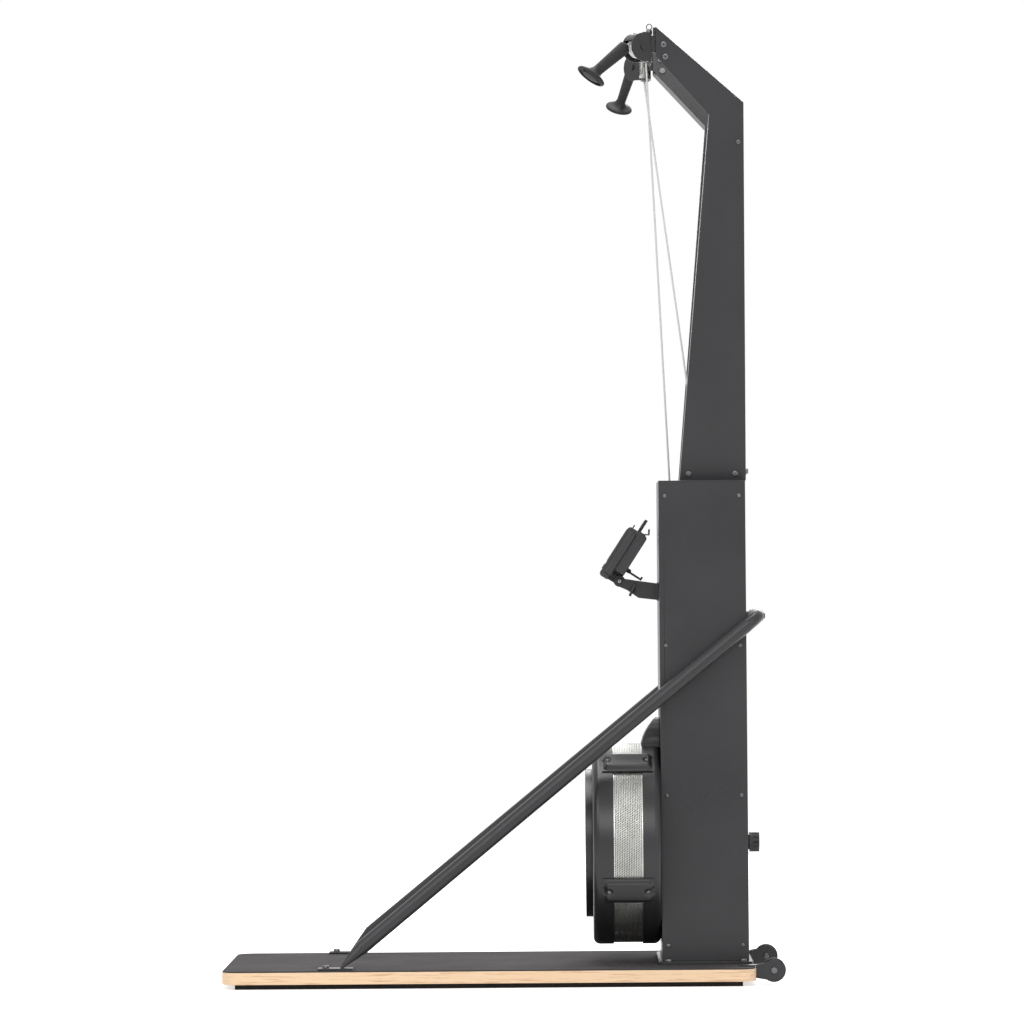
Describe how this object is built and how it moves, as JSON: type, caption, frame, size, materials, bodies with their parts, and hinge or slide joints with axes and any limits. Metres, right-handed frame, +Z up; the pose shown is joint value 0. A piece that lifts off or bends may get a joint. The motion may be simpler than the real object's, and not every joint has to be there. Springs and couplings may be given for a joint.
{
  "type": "ski trainer machine",
  "caption": "Standing ski trainer with a fan brake: board with wheels, tall column, two splayed arms with swivelling pulley heads, pull cords and handles, and a tilting monitor.",
  "frame": {"origin": "floor under the middle of the board", "axes": "+X towards the machine's back, +Y to the user's left, +Z up"},
  "size_m": [1.268, 0.6508, 2.1717],
  "materials": {
    "plywood": "clear-lacquered birch plywood, layered edges",
    "mat": "dark grey anti-slip sheet with a fine grain",
    "rubber": "plain black rubber strip",
    "black_steel": "satin charcoal powder coat with a fine texture",
    "grey_steel": "dull grey primer",
    "bolt_steel": "zinc-plated steel",
    "black_screws": "blackened steel screws",
    "wheel_rubber": "black rubber with a fine tread",
    "white_nylon": "white nylon",
    "handle_rubber": "black rubber with a fine dotted grip",
    "cord": "white braided polyester",
    "black_plastic": "black moulded plastic",
    "fan_plastic": "black moulded plastic with a fine grain",
    "mesh_steel": "bright perforated steel sheet",
    "drum_aluminium": "turned aluminium",
    "knob_plastic": "black moulded plastic",
    "dial_plastic": "black plastic plate with pale scale marks",
    "case_plastic": "dark grey moulded plastic",
    "screen_glass": "dark display window",
    "button_rubber": "grey rubber keys"
  },
  "bodies": {
    "stand": {"board": "plywood", "board_mat": "mat", "board_runners": "rubber", "base_plate": "black_steel", "frame_bolts": "black_screws", "stay_tube": "black_steel", "stay_mounts": "black_steel", "wheel_brackets": "black_steel", "wheel_axles": "black_screws", "right_side_panel": "black_steel", "left_side_panel": "black_steel", "front_panel": "black_steel", "rear_panel": "black_steel", "top_cover": "black_steel", "case_screws": "black_screws", "inner_frame": "grey_steel", "right_arm": "black_steel", "left_arm": "black_steel", "hinge_brackets": "black_steel", "swivel_pins": "black_screws", "right_cord": "cord", "left_cord": "cord", "cord_eyelets": "black_plastic", "shaft_bearings": "bolt_steel", "recoil_cases": "black_plastic", "recoil_springs": "bolt_steel", "fan_front_shell": "fan_plastic", "fan_rear_shell": "fan_plastic", "fan_band": "mesh_steel", "shell_clamps": "fan_plastic", "intake_grille": "fan_plastic", "dial_plate": "dial_plastic", "damper_cable": "black_plastic", "monitor_bracket": "black_steel"},
    "right_head": {"right_yoke": "black_steel", "right_cord_wrap": "cord"},
    "left_head": {"left_yoke": "black_steel", "left_cord_wrap": "cord"},
    "right_lead": {"right_cord_lead": "cord"},
    "left_lead": {"left_cord_lead": "cord"},
    "right_grip": {"right_handle": "handle_rubber"},
    "left_grip": {"left_handle": "handle_rubber"},
    "right_sheave": {"right_pulley": "white_nylon"},
    "left_sheave": {"left_pulley": "white_nylon"},
    "right_winder": {"right_drum": "drum_aluminium"},
    "left_winder": {"left_drum": "drum_aluminium"},
    "rotor": {"drive_shaft": "bolt_steel", "fan_wheel": "black_plastic"},
    "knob": {"damper_knob": "knob_plastic"},
    "damper": {"damper_ring": "grey_steel"},
    "monitor": {"monitor_case": "case_plastic", "monitor_screen": "screen_glass"},
    "lock": {"wing_screw": "knob_plastic"},
    "top_clip": {"upper_clip": "case_plastic"},
    "back_clip": {"lower_clip": "case_plastic"},
    "right_key": {"right_button": "button_rubber"},
    "middle_key": {"middle_button": "button_rubber"},
    "left_key": {"left_button": "button_rubber"},
    "right_roller": {"right_wheel": "wheel_rubber"},
    "left_roller": {"left_wheel": "wheel_rubber"}
  },
  "joints": [
    {"name": "right_head_swivel", "type": "hinge", "parent": "stand", "child": "right_head", "pos_m": [0.379, -0.19551, 2.116], "axis": [0, 0, 1], "range_deg": [-36, 28]},
    {"name": "right_cord_swing", "type": "hinge", "parent": "right_head", "child": "right_lead", "pos_m": [0.35392, -0.21373, 2.116], "axis": [0.5878, -0.809, 0], "range_deg": [0, 45]},
    {"name": "right_pull", "type": "slide", "parent": "right_lead", "child": "right_grip", "axis": [-0.7044, -0.3398, -0.6232], "range_m": [0, 1.35], "stiffness_N_per_m": 15, "springref_m": -1},
    {"name": "right_pulley_turn", "type": "hinge", "parent": "right_head", "child": "right_sheave", "pos_m": [0.35392, -0.21373, 2.116], "axis": [0.5878, -0.809, 0], "continuous": true},
    {"name": "right_drum_turn", "type": "hinge", "parent": "stand", "child": "right_winder", "pos_m": [0.42, 0, 0.31], "axis": [1, 0, 0], "continuous": true},
    {"name": "left_head_swivel", "type": "hinge", "parent": "stand", "child": "left_head", "pos_m": [0.379, 0.19551, 2.116], "axis": [0, 0, -1], "range_deg": [-52, 12]},
    {"name": "left_cord_swing", "type": "hinge", "parent": "left_head", "child": "left_lead", "pos_m": [0.35991, 0.21993, 2.116], "axis": [-0.788, -0.6157, 0], "range_deg": [0, 38]},
    {"name": "left_pull", "type": "slide", "parent": "left_lead", "child": "left_grip", "axis": [-0.2618, 0.645, -0.7179], "range_m": [0, 1.35], "stiffness_N_per_m": 15, "springref_m": -1},
    {"name": "left_pulley_turn", "type": "hinge", "parent": "left_head", "child": "left_sheave", "pos_m": [0.35991, 0.21993, 2.116], "axis": [-0.788, -0.6157, 0], "continuous": true},
    {"name": "left_drum_turn", "type": "hinge", "parent": "stand", "child": "left_winder", "pos_m": [0.492, 0, 0.31], "axis": [1, 0, 0], "continuous": true},
    {"name": "fan_turn", "type": "hinge", "parent": "stand", "child": "rotor", "pos_m": [0.2965, 0, 0.31], "axis": [1, 0, 0], "continuous": true},
    {"name": "damper_knob_turn", "type": "hinge", "parent": "stand", "child": "knob", "pos_m": [0.589, 0, 0.31], "axis": [1, 0, 0], "range_deg": [0, 270]},
    {"name": "damper_ring_turn", "type": "hinge", "parent": "stand", "child": "damper", "pos_m": [0.2415, 0, 0.31], "axis": [1, 0, 0], "range_deg": [0, 27]},
    {"name": "monitor_tilt", "type": "hinge", "parent": "stand", "child": "monitor", "pos_m": [0.303, 0, 0.911], "axis": [0, 1, 0], "range_deg": [-40, 0]},
    {"name": "tilt_lock_turn", "type": "hinge", "parent": "stand", "child": "lock", "pos_m": [0.332, -0.036, 0.89], "axis": [0, 1, 0], "range_deg": [-180, 180]},
    {"name": "upper_clip_slide", "type": "slide", "parent": "monitor", "child": "top_clip", "axis": [0.5446, 0, 0.8387], "range_m": [0, 0.025], "stiffness_N_per_m": 200, "springref_m": -0.01},
    {"name": "lower_clip_turn", "type": "hinge", "parent": "monitor", "child": "back_clip", "pos_m": [0.32517, 0, 0.93357], "axis": [0, -1, 0], "range_deg": [0, 75]},
    {"name": "right_button_press", "type": "slide", "parent": "monitor", "child": "right_key", "axis": [0.8387, 0, -0.5446], "range_m": [0, 0.0015], "stiffness_N_per_m": 400, "springref_m": -0.001},
    {"name": "middle_button_press", "type": "slide", "parent": "monitor", "child": "middle_key", "axis": [0.8387, 0, -0.5446], "range_m": [0, 0.0015], "stiffness_N_per_m": 400, "springref_m": -0.001},
    {"name": "left_button_press", "type": "slide", "parent": "monitor", "child": "left_key", "axis": [0.8387, 0, -0.5446], "range_m": [0, 0.0015], "stiffness_N_per_m": 400, "springref_m": -0.001},
    {"name": "right_wheel_turn", "type": "hinge", "parent": "stand", "child": "right_roller", "pos_m": [0.641, -0.228, 0.033], "axis": [0, 1, 0], "continuous": true},
    {"name": "left_wheel_turn", "type": "hinge", "parent": "stand", "child": "left_roller", "pos_m": [0.641, 0.228, 0.033], "axis": [0, 1, 0], "continuous": true}
  ],
  "couplings": [
    {"joint": "right_pulley_turn", "follows": "right_pull", "rad_per_m": 47.506},
    {"joint": "right_drum_turn", "follows": "right_pull", "rad_per_m": -30.722},
    {"joint": "left_pulley_turn", "follows": "left_pull", "rad_per_m": 47.506},
    {"joint": "left_drum_turn", "follows": "left_pull", "rad_per_m": -30.722},
    {"joint": "damper_ring_turn", "follows": "damper_knob_turn", "ratio": 0.1}
  ]
}
